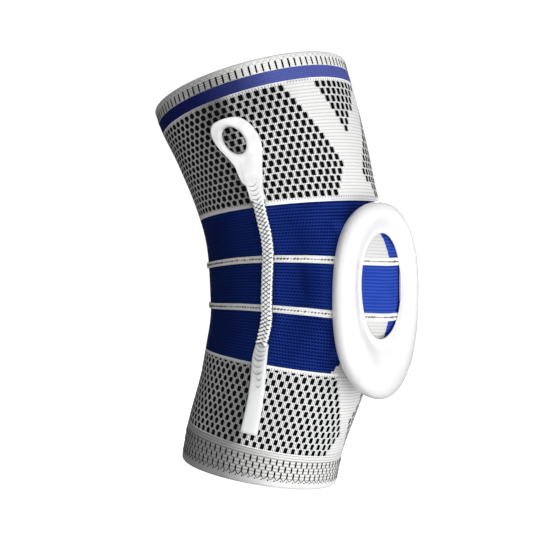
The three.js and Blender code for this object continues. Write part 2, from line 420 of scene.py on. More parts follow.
class Tree:
    """A node tree whose nodes all come from one method."""

    def __init__(self, tree, family):
        self.tree, self.family = tree, family
        tree.nodes.clear()

    def node(self, kind, settings=None, sockets=None, out=0):
        if not kind.startswith(("Shader", "Geometry", "Function", "Node")):
            kind = self.family + kind
        made = self.tree.nodes.new(kind)
        settings = dict(settings or {})
        stops = settings.pop("stops", None)
        for key, value in settings.items():
            setattr(made, key, value)
        if stops:
            ramp = made.color_ramp
            while len(ramp.elements) < len(stops):
                ramp.elements.new(1.0)
            for element, (place, level) in zip(ramp.elements, stops):
                element.position = place
                element.color = (level, level, level, 1)
        for key, value in (sockets or {}).items():
            if isinstance(value, Value):
                self.tree.links.new(value.socket, made.inputs[key])
            else:
                made.inputs[key].default_value = value
        return Value(self, made.outputs[out]) if out is not None else made

    def math(self, operation, *parts):
        return self.node("ShaderNodeMath", {"operation": operation}, dict(enumerate(parts)))


class Paint(Tree):
    """A material: its tree, places on the piece, and the finish at its end."""

    def __init__(self, name):
        self.material = bpy.data.materials.new(name)
        self.material.use_nodes = True
        super().__init__(self.material.node_tree, "ShaderNode")

    def place(self):
        """Degrees round the leg and millimetres up it, from the knit's own map."""
        both = self.node("UVMap", {"uv_map": "Knit"})
        u = self.node("SeparateXYZ", None, {0: both})
        v = self.node("SeparateXYZ", None, {0: both}, out=1)
        return (u - 0.5) * 360, v * map_span - map_base

    def grain(self, size, detail=2.0, rough=0.5):
        """Noise from 0 to 1 whose blotches are a size in millimetres."""
        here = self.node("TexCoord", out=3)
        return self.node("TexNoise", None, {
            "Vector": here, "Scale": 1000.0 / size, "Detail": detail, "Roughness": rough})

    def level(self, value, table, low, high):
        """A table's column at a value: (value, level) pairs, level from low to high."""
        first, last = table[0][0], table[-1][0]
        stops = [
            ((at - first) / (last - first), (what - low) / (high - low)) for at, what in table]
        spot = (value - first) / (last - first)
        return self.node("ValToRGB", {"stops": stops}, {0: spot}) * (high - low) + low

    def behind(self, angle, start=74, over=30):
        """0 on the sides and front of the leg, rising to 1 towards its back, where the knit is stretched; a mask for
        the stretched cells and for painted shade behind the leg.
        """
        return ((abs(angle) - start) / over).clear()

    def mix(self, mask, first, second):
        """Two colours by a mask, the first where it is 0."""
        first, second = [(*c, 1) if isinstance(c, tuple) else c for c in (first, second)]
        return self.node("Mix", {"data_type": "RGBA"}, {0: mask, 6: first, 7: second}, out=2)

    def shade(self, mask, color, amount, dark):
        """A colour darkened towards a grey, by a mask."""
        return self.mix(mask * amount, color, grey(dark))

    def finish(self, color, roughness, relief, depth, strength=1.0, **constants):
        """The surface: colour, roughness, relief and its depth in millimetres, constants."""
        bump = self.node("Bump", None, {
            "Height": relief, "Distance": depth * MM, "Strength": strength})
        sockets = {"Base Color": color, "Roughness": roughness, "Normal": bump}
        sockets.update({key.replace("_", " "): value for key, value in constants.items()})
        surface = self.node("BsdfPrincipled", None, sockets)
        self.node("OutputMaterial", None, {"Surface": surface}, out=None)
        return self.material


def grey(level):
    return (level, level, level)


WHITE = (0.78, 0.78, 0.775)
WHITE_SHADE = (0.36, 0.36, 0.355)
WHITE_NET = (0.97, 0.97, 0.965)
BLACK = (0.003, 0.003, 0.0035)
# The dark of the painted shade on the back of the ribs and their stitches.
PAINTED_SHADE = (0.05, 0.05, 0.04)
CLOTH = {"Specular_IOR_Level": 0.03}
MATTE = 0.85


def plain_knit(paint, angle, height, fine=1.95):
    """Colour mask and relief of the plain white courses."""
    course_line = ((height / fine).wave() * 2.6).clear()
    wale_line = (angle * (fine_loops / 360)).wave()
    relief = course_line * 0.75 + wale_line * 0.25
    fuzz = paint.grain(0.8)
    groove = (1 - course_line) * (wale_line * 0.4 + 0.25)
    return (1.1 - groove - fuzz * 0.35).clear(), relief


def open_cells(paint, angle, height, columns, lowest, pitch, rows, wide, tall):
    """Dark openings in rows that step half a column: mask, and each one's place."""
    row = (height - (lowest - pitch / 2)) / pitch
    line = row.floor()
    step = (line % 2) * 0.5
    column = angle * (columns / 360) + step
    across = abs(column - column.floor() - 0.5)
    up = abs(row - line - 0.5)
    ragged = paint.grain(0.8, 3.0, 0.75) * 0.55 - 0.275
    stretch = paint.behind(angle)
    x, y = across / (stretch * 0.03 + wide), up / (stretch * 0.02 + tall)
    notch = (1 - across * 14).clear() * 0.16
    shape = x.most(y + notch).most((x + y) * (stretch * 0.09 + 0.6)) + ragged
    mask = ((1 - shape) * 7 + 0.5).clear()
    inside = (line > -0.5) * (line < rows - 0.5)
    middle_angle = (column.floor() + 0.5 - step) * (360 / columns)
    middle_height = (line + 0.5) * pitch + (lowest - pitch / 2)
    return mask * inside, middle_angle, middle_height, across


def mesh_material(name, columns, lowest, pitch, rows, wide, tall, centre, clear_band, island,
                  borders):
    """White knit with dark cells, but for a clear band about a centre line.

    The tables give degrees by height: the line, the band's half width, and the half width
    of an island of cells in it. Borders are heights of a row of fine dots.
    """
    paint = Paint(name)
    angle, height = paint.place()
    cells, at_angle, at_height, across = open_cells(
        paint, angle, height, columns, lowest, pitch, rows, wide, tall)
    off = abs(at_angle - paint.level(at_height, centre, -20, 20))
    shown = off > paint.level(at_height, clear_band, 0, 60)
    if island:
        shown = shown.most(off < paint.level(at_height, island, 0, 60))
    clear_of_blue = (height < panel_bottom - 2.3).most(height > panel_top + 2.6)
    in_rows = (height > lowest - pitch * 0.5) * (height < lowest + pitch * (rows - 0.4))
    tone, relief = plain_knit(paint, angle, height)
    pairs = (1 - abs(across - 0.39) * 12).clear() * shown * clear_of_blue * in_rows
    cells = cells * shown * clear_of_blue
    tone = (tone + (1 - tone) * shown * 0.6) * (1 - pairs * 0.85)
    dots = ((angle * (blue_loops / 360)).wave() * 1.6 - 0.5).clear()
    for border in borders:
        tone = tone * (1 - ((1 - abs(height - border) / 0.6) * 2).clear() * dots)
    color = paint.mix(tone, WHITE_SHADE, paint.mix(shown, WHITE, WHITE_NET))
    color = paint.shade(pairs, color, 0.65, 0.06)
    # Painted shade on the upper thigh, from the front round to behind the stay.
    turned = paint.behind(angle, 32, 30) * (1 - paint.behind(angle, 84, 20))
    color = paint.shade(turned * ((height - 100) / 14).clear(), color, 0.38, 0.03)
    # Painted shade behind the leg, strongest just behind the stay; the black cells go over it.
    back = paint.behind(angle, 71, 8) * (0.7 - paint.behind(angle, 80, 34) * 0.26)
    color = paint.mix(cells, paint.mix(back, color, grey(0.03)), BLACK)
    return paint.finish(color, MATTE, relief * 0.35 + (1 - cells), 0.5, 0.7, **CLOTH)


def from_ribs(height):
    """How far a height is from the middle of the nearer rib."""
    return abs(abs(height - (rib_above + rib_below) / 2) - (rib_above - rib_below) / 2)


def blue_material():
    paint = Paint("blue ribbed knit")
    angle, height = paint.place()
    row = height / 1.95
    step = (row.floor() % 2) * 0.5
    ridge = row.wave()
    loops = ((angle * (blue_loops / 360) + step).wave() * 1.9 - 0.45).clear()
    fuzz = paint.grain(1.2, 3.0)
    patch = paint.grain(14.0, 2.0)
    light = (ridge * (0.08 + loops * 1.15) * (0.35 + patch * 1.1) + fuzz * 0.3 - 0.12).clear()
    # Painted light inside the ring, and painted shade in the fold beside the stay and behind the leg.
    painted_ring_light = (1 - paint.behind(angle + 2, 28, 6)) * (1 - paint.behind(height - 2, 36, 6))
    back = paint.behind(angle, 75, 7) * (paint.behind(angle, 82, 24) * 0.2 + 0.5)
    dark = paint.mix(painted_ring_light, (0.0006, 0.0052, 0.055), (0.011, 0.034, 0.25))
    bright = paint.mix(painted_ring_light, (0.0165, 0.050, 0.34), (0.045, 0.110, 0.62))
    blue = paint.mix(light, dark, bright)
    # Painted shade in the crease beside the stay.
    painted_fold_shade = abs(angle).peak(58, 13) * height.peak(2, 70)
    blue = paint.mix(painted_fold_shade * 0.85, blue, dark)
    # Painted light: a brighter band on the knit beside the ring.
    swell = abs(angle).peak(43, 7) * height.peak(2, 24)
    blue = paint.mix(swell * 0.35, blue, bright)
    # Painted shade behind the leg.
    blue = paint.mix(back, blue, (0.0006, 0.004, 0.030))
    # Painted shadow: dark lines along the edges of the ribs and panels.
    borders = 1 - (from_ribs(height) - rib_half).clear() / 0.6
    for border in (panel_top, panel_bottom):
        borders = borders.most(1 - abs(height - border))
    blue = paint.mix(borders.clear() * (0.45 + loops * 0.4), blue, (0.0008, 0.002, 0.02))
    # The white kneecap zone, stepped course by course, and where it opens out below.
    stair = ((height / kneecap_stair).floor() + 0.5) * kneecap_stair
    left = paint.level(stair, [
        (-48, -28.5), (-44, -26.5), (-40, -24.5), (-37, -24), (-30, -25), (-14, -27), (20, -27),
        (34, -25), (42, -19), (45, -12)], -40, 40)
    right = paint.level(stair, [
        (-48, 24), (-40, 15), (-30, 6), (-26, 3.2), (-20, 1.2), (-14, 1.2), (20, 3.2), (27, 2),
        (34, 1.4), (42, -7), (45, -12)], -40, 40)
    white = (angle > left) * (angle < right)
    middle = (height > rib_below - rib_half) * (height < rib_above + rib_half)
    white = white * (1 - middle) * (height < kneecap_top)
    tone, relief = plain_knit(paint, angle, height, 1.9)
    color = paint.mix(white, blue, paint.mix(tone, (0.44, 0.44, 0.43), (0.68, 0.68, 0.67)))
    return paint.finish(color, MATTE, ridge * 0.7 + loops * 0.3, 0.3, 0.7, Specular_IOR_Level=0.04)


def stripe_material():
    paint = Paint("blue stripe knit")
    angle, height = paint.place()
    ridge = (height / 1.3).wave()
    loops = (angle * (fine_loops / 360)).wave()
    tone = (ridge * 0.5 + loops * 0.2 + paint.grain(1.5) * 0.4).clear()
    # Painted light: the stripe is lighter at the front and darker round the back.
    front = paint.level(angle, [
        (-180, 0), (-92, 0), (-66, 0.25), (-44, 1), (44, 1), (66, 0.25), (92, 0), (180, 0)], 0, 1)
    low = paint.mix(front, (0.0025, 0.004, 0.045), (0.045, 0.058, 0.24))
    high = paint.mix(front, (0.008, 0.012, 0.085), (0.10, 0.125, 0.40))
    relief = ridge * 0.7 + loops * 0.3
    return paint.finish(paint.mix(tone, low, high), 0.8, relief, 0.15, 0.6, **CLOTH)


def rib_material():
    paint = Paint("white rib knit")
    angle, height = paint.place()
    centre = (1 - from_ribs(height) / 0.55).clear()
    stitches = (angle * (rib_loops / 360)).wave()
    # The rib's middle line is darker, in patches.
    centre_patches = paint.grain(16.0, 2.0)
    tone = 1 - centre * (1 - stitches * 0.7) * (centre_patches * 1.6 - 0.25).clear()
    color = paint.mix(tone, grey(0.10), (0.9, 0.9, 0.89))
    # Painted shade on the rib behind the leg.
    color = paint.mix(paint.behind(angle, 74, 14) * 0.4, color, PAINTED_SHADE)
    return paint.finish(color, 0.8, stitches * 0.5 + tone * 0.5, 0.3, 0.7, **CLOTH)


def upper_cuff_material():
    paint = Paint("upper cuff knit")
    angle, height = paint.place()
    tone, relief = plain_knit(paint, angle, height, 1.3)
    tone = tone * 0.4 + 0.55
    turn = angle * (upper_columns / 360)
    step = abs(turn - turn.floor() - 0.5) * 2
    side = paint.behind(angle, 58, 10) * (1 - paint.behind(angle, 92, 10) * 0.7)
    blocks = (height < ladder_top) * ((height / 1.55).wave() * 1.6 - 0.3).clear() * side
    up = (height - points_foot) / points_rise
    vee = (1 - abs(up - step) * 3.2).clear() * (up > -0.05) * (up < 1.0)
    smooth_rim = ((height - upper_welt) / 0.6).clear()
    tone = (tone * (1 - blocks * 0.7) * (1 - vee * 0.55)).most(smooth_rim * 0.9)
    color = paint.mix(tone, (0.24, 0.24, 0.23), (0.86, 0.86, 0.855))
    # Painted shade towards the back of the leg.
    color = paint.shade(paint.behind(angle, 53, 28), color, 0.55, 0.05)
    return paint.finish(color, MATTE, relief * (1 - smooth_rim) * 0.5 + tone, 0.35, 0.7, **CLOTH)


def lower_cuff_material():
    paint = Paint("lower cuff knit")
    angle, height = paint.place()
    tone, relief = plain_knit(paint, angle, height, 1.2)
    inside = (height > bricks_foot) * (height < bricks_top)
    level_line = ((height + 106.9) / brick_rise).wave() * 2.4 - 1.4
    tone = (tone * 0.4 + 0.55) * (1 - inside * level_line.clear() * 0.7)
    for groove in grooves:
        tone = tone * (1 - height.peak(groove, 0.55) * 0.6)
    welt = ((lower_welt - height) / 0.8).clear()
    tone = tone.most(welt * 0.75)
    color = paint.mix(tone, (0.20, 0.20, 0.19), (0.84, 0.84, 0.835))
    # Painted shade towards the back of the leg.
    color = paint.shade(paint.behind(angle, 44, 40), color, 0.68, 0.05)
    return paint.finish(color, MATTE, relief * (1 - welt) * 0.5 + tone, 0.35, 0.7, **CLOTH)


def mottled(name, size, low, high, roughness, depth, detail=2.0, bumps=None, **constants):
    """A finish whose colour wanders between two over blotches of a size."""
    paint = Paint(name)
    cloud = paint.grain(size, detail)
    relief = paint.grain(bumps) if bumps else cloud
    return paint.finish(paint.mix(cloud, low, high), roughness, relief, depth, **constants)


def white_yarn():
    paint = Paint("white yarn")
    tone = paint.grain(0.7, 3.0)
    color = paint.mix(tone, (0.78, 0.78, 0.77), (0.94, 0.94, 0.93))
    # Painted shade on the stitches towards the back of the leg.
    setback = paint.node("SeparateXYZ", None, {0: paint.node("TexCoord", out=3)}, out=1)
    color = paint.mix(((setback + 0.019) * 60).clear() * 0.4, color, PAINTED_SHADE)
    return paint.finish(color, 0.75, tone, 0.12, **CLOTH)


def silicone_material():
    paint = Paint("milky silicone")
    cloud = paint.grain(22.0, 3.0)
    speck = paint.grain(1.4, 2.0)
    color = paint.mix(cloud, (0.79, 0.79, 0.80), (0.86, 0.86, 0.865))
    return paint.finish(color, 0.24 + cloud * 0.1, speck * 0.05 + cloud, 0.05, 0.5,
                        Coat_Weight=0.35, Coat_Roughness=0.12, Subsurface_Weight=0.25,
                        Subsurface_Radius=grey(0.006), Subsurface_Scale=1.0)


def plastic_material():
    paint = Paint("polished white plastic")
    cloud = paint.grain(9.0, 2.0)
    flow = paint.grain(1.0, 2.0)
    color = paint.mix((cloud * 2.4 - 0.7).clear(), (0.80, 0.80, 0.805), (0.97, 0.97, 0.965))
    # Its map runs from the hole to the rim and once round, from below: painted shade makes it greyer where the dish
    # slopes in.
    across, up = paint.place()
    outwards, around = across / 360 + 0.5, up / map_span + 0.5
    dish = (1 - outwards * 1.7).clear() * (1 - abs(around - 0.63) * 4.5).clear()
    color = paint.shade((dish * 1.5).clear(), color, 0.5, 0.40)
    return paint.finish(color, 0.35 + cloud * 0.15, flow * 0.3 + cloud, 0.08, 0.5,
                        Coat_Weight=0.08, Coat_Roughness=0.2)


def coil_material():
    paint = Paint("coated coil wire")
    cloud = paint.grain(2.2, 2.0)
    color = paint.mix(cloud, (0.93, 0.935, 0.94), (0.99, 0.99, 0.99))
    return paint.finish(color, 0.3 + cloud * 0.2, cloud, 0.05, 0.5, Coat_Weight=0.2)


def tail_material():
    paint = Paint("translucent tape")
    across, height = paint.place()
    upper = ((height + 66) / 14).clear()
    edge = (abs(across) - 30) / 60
    cloud = paint.grain(7.0, 2.0)
    tone = (0.86 - upper * 0.42 + edge * upper * 0.3 + cloud * 0.2 - 0.1).clear()
    color = paint.mix(tone, (0.46, 0.47, 0.49), (0.84, 0.845, 0.845))
    return paint.finish(color, 0.28 + cloud * 0.15, cloud, 0.1, 0.5,
                        Coat_Weight=0.25, Subsurface_Weight=0.1,
                        Subsurface_Radius=grey(0.003), Subsurface_Scale=1.0)


# Repeats, made by one tree that walks a path

def along_path():
    """A tree that sets a piece at even steps along a path, laid on the leg."""
    group = bpy.data.node_groups.new("set along a path", "GeometryNodeTree")
    face = group.interface
    face.new_socket("Geometry", in_out="INPUT", socket_type="NodeSocketGeometry")
    kinds = {"Piece": "Object", "Finish": "Material", "Pitch": "Float", "Size": "Vector",
             "Lean": "Float", "Unevenness": "Float", "Seed": "Int"}
    for name, kind in kinds.items():
        face.new_socket(name, in_out="INPUT", socket_type="NodeSocket" + kind)
    face.new_socket("Geometry", in_out="OUTPUT", socket_type="NodeSocketGeometry")
    tree = Tree(group, "GeometryNode")
    given = tree.node("NodeGroupInput", out=None)
    take = {socket.name: Value(tree, socket) for socket in given.outputs if socket.name}
    path = tree.node("MeshToCurve", None, {"Mesh": take["Geometry"]})
    length = tree.node("CurveLength", None, {"Curve": path})
    count = tree.math("ROUND", length / take["Pitch"])
    spots = tree.node("CurveToPoints", {"mode": "COUNT"}, {"Curve": path, "Count": count},
                      out=None)
    points, tangent = (Value(tree, spots.outputs[name]) for name in ("Points", "Tangent"))
    outward = tree.node("InputNamedAttribute", {"data_type": "FLOAT_VECTOR"},
                        {"Name": "outward"})
    turn = tree.node("FunctionNodeAxesToRotation", {"primary_axis": "Z", "secondary_axis": "Y"},
                     {"Primary Axis": outward, "Secondary Axis": tangent})
    lean = tree.node("ShaderNodeCombineXYZ", None, {"Z": take["Lean"]})
    by = tree.node("FunctionNodeEulerToRotation", None, {0: lean})
    turn = tree.node("FunctionNodeRotateRotation", {"rotation_space": "LOCAL"},
                     {"Rotation": turn, "Rotate By": by})
    chance = tree.node("FunctionNodeRandomValue", {"data_type": "FLOAT"},
                       {2: -1.0, 3: 1.0, "Seed": take["Seed"]}, out=1)
    swell = chance * take["Unevenness"] + 1.0
    size = tree.node("ShaderNodeVectorMath", {"operation": "SCALE"},
                     {0: take["Size"], "Scale": swell})
    source = tree.node("ObjectInfo", {"transform_space": "ORIGINAL"},
                       {"Object": take["Piece"]}, out=None)
    solid = Value(tree, source.outputs["Geometry"])
    placed = tree.node("InstanceOnPoints", None, {
        "Points": points, "Instance": solid, "Rotation": turn, "Scale": size})
    real = tree.node("RealizeInstances", None, {"Geometry": placed})
    done = tree.node("SetMaterial", None, {"Geometry": real, "Material": take["Finish"]})
    tree.node("NodeGroupOutput", None, {"Geometry": done}, out=None)
    return group


PATH_TREE = along_path()


def path_object(name, points, outward, closed):
    """A helper of edges along points, with the outward direction at each."""
    edges = [(i, i + 1) for i in range(len(points) - 1)]
    if closed:
        edges.append((len(points) - 1, 0))
    mesh = bpy.data.meshes.new(name)
    mesh.from_pydata((points * MM).tolist(), edges, [])
    attribute = mesh.attributes.new("outward", "FLOAT_VECTOR", "POINT")
    attribute.data.foreach_set("vector", np.array(outward, "f").ravel())
    return linked(name, mesh)


def repeated(name, line, source, material, pitch, size, lean=0.0, unevenness=0.04, seed=3):
    """The tree's result on a path, as a plain mesh. Pitch and size are in millimetres."""
    helper = path_object(name + "_path", *line)
    modifier = helper.modifiers.new("repeats", "NODES")
    modifier.node_group = PATH_TREE
    wanted = {"Piece": source, "Finish": material, "Pitch": pitch * MM,
              "Size": [s * MM for s in size], "Lean": math.radians(lean),
              "Unevenness": unevenness, "Seed": seed}
    for item in PATH_TREE.interface.items_tree:
        if item.in_out == "INPUT" and item.name in wanted:
            modifier[item.identifier] = wanted[item.name]
    graph = bpy.context.evaluated_depsgraph_get()
    mesh = bpy.data.meshes.new_from_object(helper.evaluated_get(graph), depsgraph=graph)
    mesh.name = name
    mesh.shade_smooth()
    drop(helper)
    return linked(name, mesh)


def drop(obj):
    mesh = obj.data
    bpy.data.objects.remove(obj)
    bpy.data.meshes.remove(mesh)


def joined(name, parts):
    """Several objects as one mesh."""
    points, faces, materials, index, corner_uv = [], [], [], [], []
    for part in parts:
        start = len(points)
        mesh = part.data
        flat = np.zeros(2 * len(mesh.loops), "f")
        if "Knit" in mesh.uv_layers:
            mesh.uv_layers["Knit"].data.foreach_get("uv", flat)
        corner_uv.append(flat)
        points += [tuple(v.co) for v in mesh.vertices]
        for polygon in mesh.polygons:
            faces.append([start + v for v in polygon.vertices])
            index.append(len(materials) + polygon.material_index)
        materials += list(mesh.materials)
        drop(part)
    mesh = bpy.data.meshes.new(name)
    mesh.from_pydata(points, [], faces)
    for material in materials:
        mesh.materials.append(material)
    mesh.polygons.foreach_set("material_index", index)
    mesh.uv_layers.new(name="Knit").data.foreach_set("uv", np.concatenate(corner_uv))
    mesh.shade_smooth()
    return linked(name, mesh)


def bead(name, sides=8, rings=5, square=1.0):
    """A unit bead to repeat: 1 long in Y and 1 wide in X, its lower part sunk below z 0."""
    turn = np.linspace(0, 2 * np.pi, sides, endpoint=False)
    loops = []
    for s in np.sin(np.linspace(-np.pi / 2, np.pi / 2, rings)):
        reach = (1 - abs(s) ** (2 + 2 * square)) ** 0.5 * 0.92 + 0.08
        loops.append(np.stack([
            0.5 * reach * np.cos(turn), np.full(sides, s * 0.5),
            0.3 + 0.7 * reach * np.sin(turn)], 1))
    return lofted(name, np.array(loops) / MM, False, [], sharp=180)


def arc(name, dip, thick):
    """A unit arc to repeat: 1 wide in X, sagging by dip in Y, a thin wire seated at z 0."""
    along = np.linspace(-1, 1, 11)
    turn = np.linspace(0, 2 * np.pi, 6, endpoint=False)
    fade = np.sqrt(np.clip(1.04 - along ** 2, 0, 1)) * thick
    loops = np.stack([np.stack([
        np.full(6, x * 0.5), dip * (1 - 2 * x * x) + f * np.cos(turn),
        0.5 + 0.5 * f / thick * np.sin(turn)], 1) for x, f in zip(along, fade)])
    return lofted(name, loops / MM, False, [], sharp=180)


# The pieces

materials = {
    "thigh": mesh_material(
        "thigh mesh knit", 76, 59.5, 4.2, 16, 0.3, 0.46,
        [(54, -6), (85, -6), (106, -4.3), (115, -3.7), (124, -0.5)],
        [(57, 24.5), (59.5, 19.8), (65.5, 13.9), (71.5, 10.8), (76.5, 9), (84.5, 14),
         (92.5, 18.5), (99.5, 24), (108.5, 28.5), (116, 33.5), (124, 38)],
        [(57, 0), (95, 0), (106, 8.6), (115, 15), (124, 22)],
        [panel_top + 2.4, stripe_bottom - 1.2]),
    "calf": mesh_material(
        "calf mesh knit", 64, -99.5, 4.167, 13, 0.255, 0.485,
        [(-100, 8.5), (-95.5, 8.5), (-88, 7), (-80.5, 5), (-72, 2), (-60, -1), (-47, -2)],
        [(-100, 12.9), (-95.5, 9), (-88, 6.5), (-80.5, 5), (-72, 6.5), (-70.5, 12),
         (-65.5, 15), (-60, 15.5), (-56.5, 18), (-47, 24.5)],
        None,
        [panel_bottom - 1.8, cuff_top + 1.0]),
    "blue": blue_material(),
    "stripe": stripe_material(),
    "rib": rib_material(),
    "upper_cuff": upper_cuff_material(),
    "lower_cuff": lower_cuff_material(),
    "thread": mottled("dark thread", 0.6, grey(0.003), (0.016, 0.016, 0.015), 0.9, 0.1,
                      bumps=0.5, **CLOTH),
    "shade_thread": mottled("grey thread", 12.0, grey(0.01), (0.26, 0.26, 0.25), 0.9, 0.1,
                            bumps=0.5, **CLOTH),
    "yarn": white_yarn(),
    "silicone": silicone_material(),
    "plastic": plastic_material(),
    "coil": coil_material(),
    # Painted shade: the dark between the coil's wires.
    "core": mottled("painted shade between coil wires", 1.8, (0.02, 0.02, 0.025), (0.09, 0.09, 0.10), 0.7, 0.1,
                    detail=3.0),
    "shade": mottled("shaded wire under tape", 1.5, (0.16, 0.165, 0.17), (0.42, 0.43, 0.44),
                     0.5, 0.05),
    "tail": tail_material(),
}

def knit_piece(name, outline, zones):
    """A knitted tube: outline is (height, out, zone) down the outside."""
    rows = outline + [(h, -knit, z) for h, _, z in reversed(outline)]
    heights = np.array([r[0] for r in rows])
    outs = np.array([r[1] for r in rows])
    turn = (np.arange(turn_steps) / turn_steps - 0.5) * 2 * np.pi
    grid_turn, grid_height = np.meshgrid(turn, heights, indexing="ij")
    actual = course(grid_height, grid_turn)
    loops = on_leg(actual, grid_turn, outs[None, :] + folds(actual, grid_turn))

    def uv(i, j):
        return (i / turn_steps, (rows[j % len(rows)][0] + map_base) / map_span)

    def zone(i, j):
        # A face on the outside has the zone of the row above it.
        if j >= len(outline) - 1:
            j = min(j + 1, len(rows) - 1)
        return zones.index(rows[j][2])

    return lofted(name, loops, True, [materials[z] for z in zones], uv, 60, zone)


def rows_between(top, bottom, step, zone, out=0.0):
    count = max(2, int(round((top - bottom) / step)))
    return [(h, out, zone) for h in np.linspace(top, bottom, count + 1)]


def profile(top, bottom, table, relief, zone, step=0.6):
    """Rows down a zone whose face follows a table of (down, out)."""
    count = max(4, int(round((top - bottom) / step)))
    down = np.linspace(0, 1, count + 1)
    out = np.interp(down, [r[0] for r in table], [r[1] for r in table]) * relief
    return [(top - d * (top - bottom), o, zone) for d, o in zip(down, out)]


upper_cuff_face = [
    (0.0, -0.45), (0.05, -0.05), (0.12, 0.14), (0.22, 0.2), (0.34, 0.15), (0.42, 0.0), (1.0, 0.0)]
lower_cuff_face = [
    (0.0, 0.0), (0.05, 0.02), (0.09, 0.12), (0.13, 0.02), (0.17, 0.12), (0.21, 0.0), (0.3, 0.1),
    (0.68, 0.1), (0.84, 0.2), (0.92, 0.18), (0.97, 0.06), (1.0, -0.35)]
rib_face = [
    (0.0, 0.0), (0.08, 0.45), (0.22, 0.9), (0.36, 1.0), (0.46, 0.82), (0.5, 0.72), (0.54, 0.82),
    (0.64, 1.0), (0.78, 0.9), (0.92, 0.45), (1.0, 0.0)]

thigh_knit = knit_piece(
    "thigh_knit",
    profile(reach_up, stripe_top, upper_cuff_face, knit, "upper_cuff")
    + rows_between(stripe_top - 0.02, stripe_bottom, 1.6, "stripe", 0.12)
    + rows_between(stripe_bottom - 0.02, panel_top + 0.01, 2.0, "thigh"),
    ["upper_cuff", "stripe", "thigh"])
knee_rows, above = [], panel_top
for rib in (rib_above, rib_below):
    knee_rows += rows_between(above, rib + rib_half + 0.02, 1.6, "blue")
    knee_rows += profile(rib + rib_half, rib - rib_half, rib_face, rib_proud, "rib", 0.3)
    above = rib - rib_half - 0.02
knee_rows += rows_between(above, panel_bottom, 1.6, "blue")
knee_knit = knit_piece("knee_knit", knee_rows, ["blue", "rib"])
calf_knit = knit_piece(
    "calf_knit",
    rows_between(panel_bottom - 0.01, cuff_top + 0.02, 2.0, "calf")
    + profile(cuff_top, -reach_down, lower_cuff_face, knit, "lower_cuff", 0.8),
    ["calf", "lower_cuff"])


def round_leg(height, out, shift=0.0, columns=1, count=420):
    """A closed path round the leg along a course, and its outward directions."""
    turn = np.linspace(-np.pi, np.pi, count, endpoint=False) + shift * 2 * np.pi / columns
    real = course(np.full(count, height), turn)
    spread = folds(real, turn)
    line = on_leg(real, turn, out + spread)
    return line, unit(on_leg(real, turn, out + 1 + spread) - line), True


def unit(v):
    return v / np.linalg.norm(v, axis=-1, keepdims=True)


strand = bead("strand", 8, 7, 0.6)
wire = bead("wire", 8, 7, 1.6)
block = bead("block", 6, 6, 3.0)
smile = arc("smile", 0.4, 0.13)


def ticks(columns, height, long, thin, out, shift, lean, uneven, seed):
    """Dark threads round the leg at a height, one to a column of the cuff."""
    pitch = 2 * math.pi * float(smooth(sections, 3, height)) / columns
    return repeated("tick", round_leg(height, out, shift, columns), block,
                    materials["thread"], pitch, (thin, long, 0.22), lean + 90.0, uneven, seed)


# Columns, height, length, width, how proud, shift in columns, lean, unevenness, seed.
cuff_ticks = joined("cuff_ticks", [ticks(*row) for row in [
    (upper_columns, 137.4, 6.4, 1.25, 0.05, 0.5, 0.0, 0.08, 5),
    (lower_columns, -109.3, 4.1, 1.15, 0.24, 0.25, 0.0, 0.08, 6),
    (lower_columns, -114.1, 4.1, 1.15, 0.24, 0.75, 0.0, 0.08, 7),
    (lower_columns, -118.9, 4.1, 1.15, 0.24, 0.25, 0.0, 0.08, 8),
    (lower_columns, -122.2, 3.3, 0.55, 0.3, 0.0, -43.0, 0.15, 12),
    (lower_columns, -122.2, 3.3, 0.55, 0.3, 0.5, 43.0, 0.15, 12),
    (lower_columns, -123.9, 1.0, 0.9, 0.4, 0.75, 0.0, 0.08, 14),
]])
stitch_lines = [(rib, side) for rib in (rib_above, rib_below) for side in (1, -1)]
rib_stitches = joined("rib_stitches", [
    repeated(f"stitches_{k}", round_leg(rib + side * 1.35, rib_proud - 0.3), strand,
             materials["yarn"], 1.62, (1.75, 1.4, 0.75), side * 20.0, 0.12, 11 + k)
    for k, (rib, side) in enumerate(stitch_lines)
] + [
    repeated(f"dashes_{k}", round_leg(rib, rib_proud - 0.1), block,
             materials["shade_thread"], 2.3, (0.95, 1.5, 0.62), 28.0, 0.35, 17 + k)
    for k, rib in enumerate((rib_above, rib_below))
])


# The kneecap ring

# Its section, as shares from the hole to the rim and of its thickness.
ring_profile = rounded([
    (0.1, 0.0), (0.5, 0.0), (0.9, 0.0), (0.97, 0.04), (1.0, 0.16), (1.0, 0.42), (0.975, 0.66),
    (0.91, 0.86), (0.81, 0.97), (0.68, 1.0), (0.55, 0.95), (0.43, 0.8), (0.32, 0.58),
    (0.23, 0.36), (0.16, 0.2), (0.1, 0.13), (0.05, 0.14), (0.01, 0.12), (0.0, 0.06),
    (0.02, 0.01)], 60)


def oval(width, height, middle, egg, lean):
    """Across and up for points on an oval that narrows downwards and leans as it goes up."""
    turn = np.linspace(0, 2 * np.pi, ring_steps, endpoint=False)[:, None]
    up = height / 2 * np.cos(turn)
    across = width / 2 * (1 + egg * np.cos(turn)) * np.sin(turn)
    return across + middle[0] + lean * up, middle[1] + up


bed_reach = (50, 66)


def ring_bed():
    """The ring's back as one smooth dish: each coordinate a low power series in across and up."""
    wide, tall = bed_reach
    across, up = np.meshgrid(np.linspace(-wide, wide, 21), np.linspace(-tall, tall, 27))
    seats = on_ring(across, up, 0.0).reshape(-1, 3)
    terms = bed_terms(across, up)
    return np.linalg.lstsq(terms.reshape(len(seats), -1), seats, rcond=None)[0]


def bed_terms(across, up):
    a, u = across / bed_reach[0], up / bed_reach[1]
    return np.stack([a ** i * u ** j for i in range(5) for j in range(5) if i + j < 6], -1)


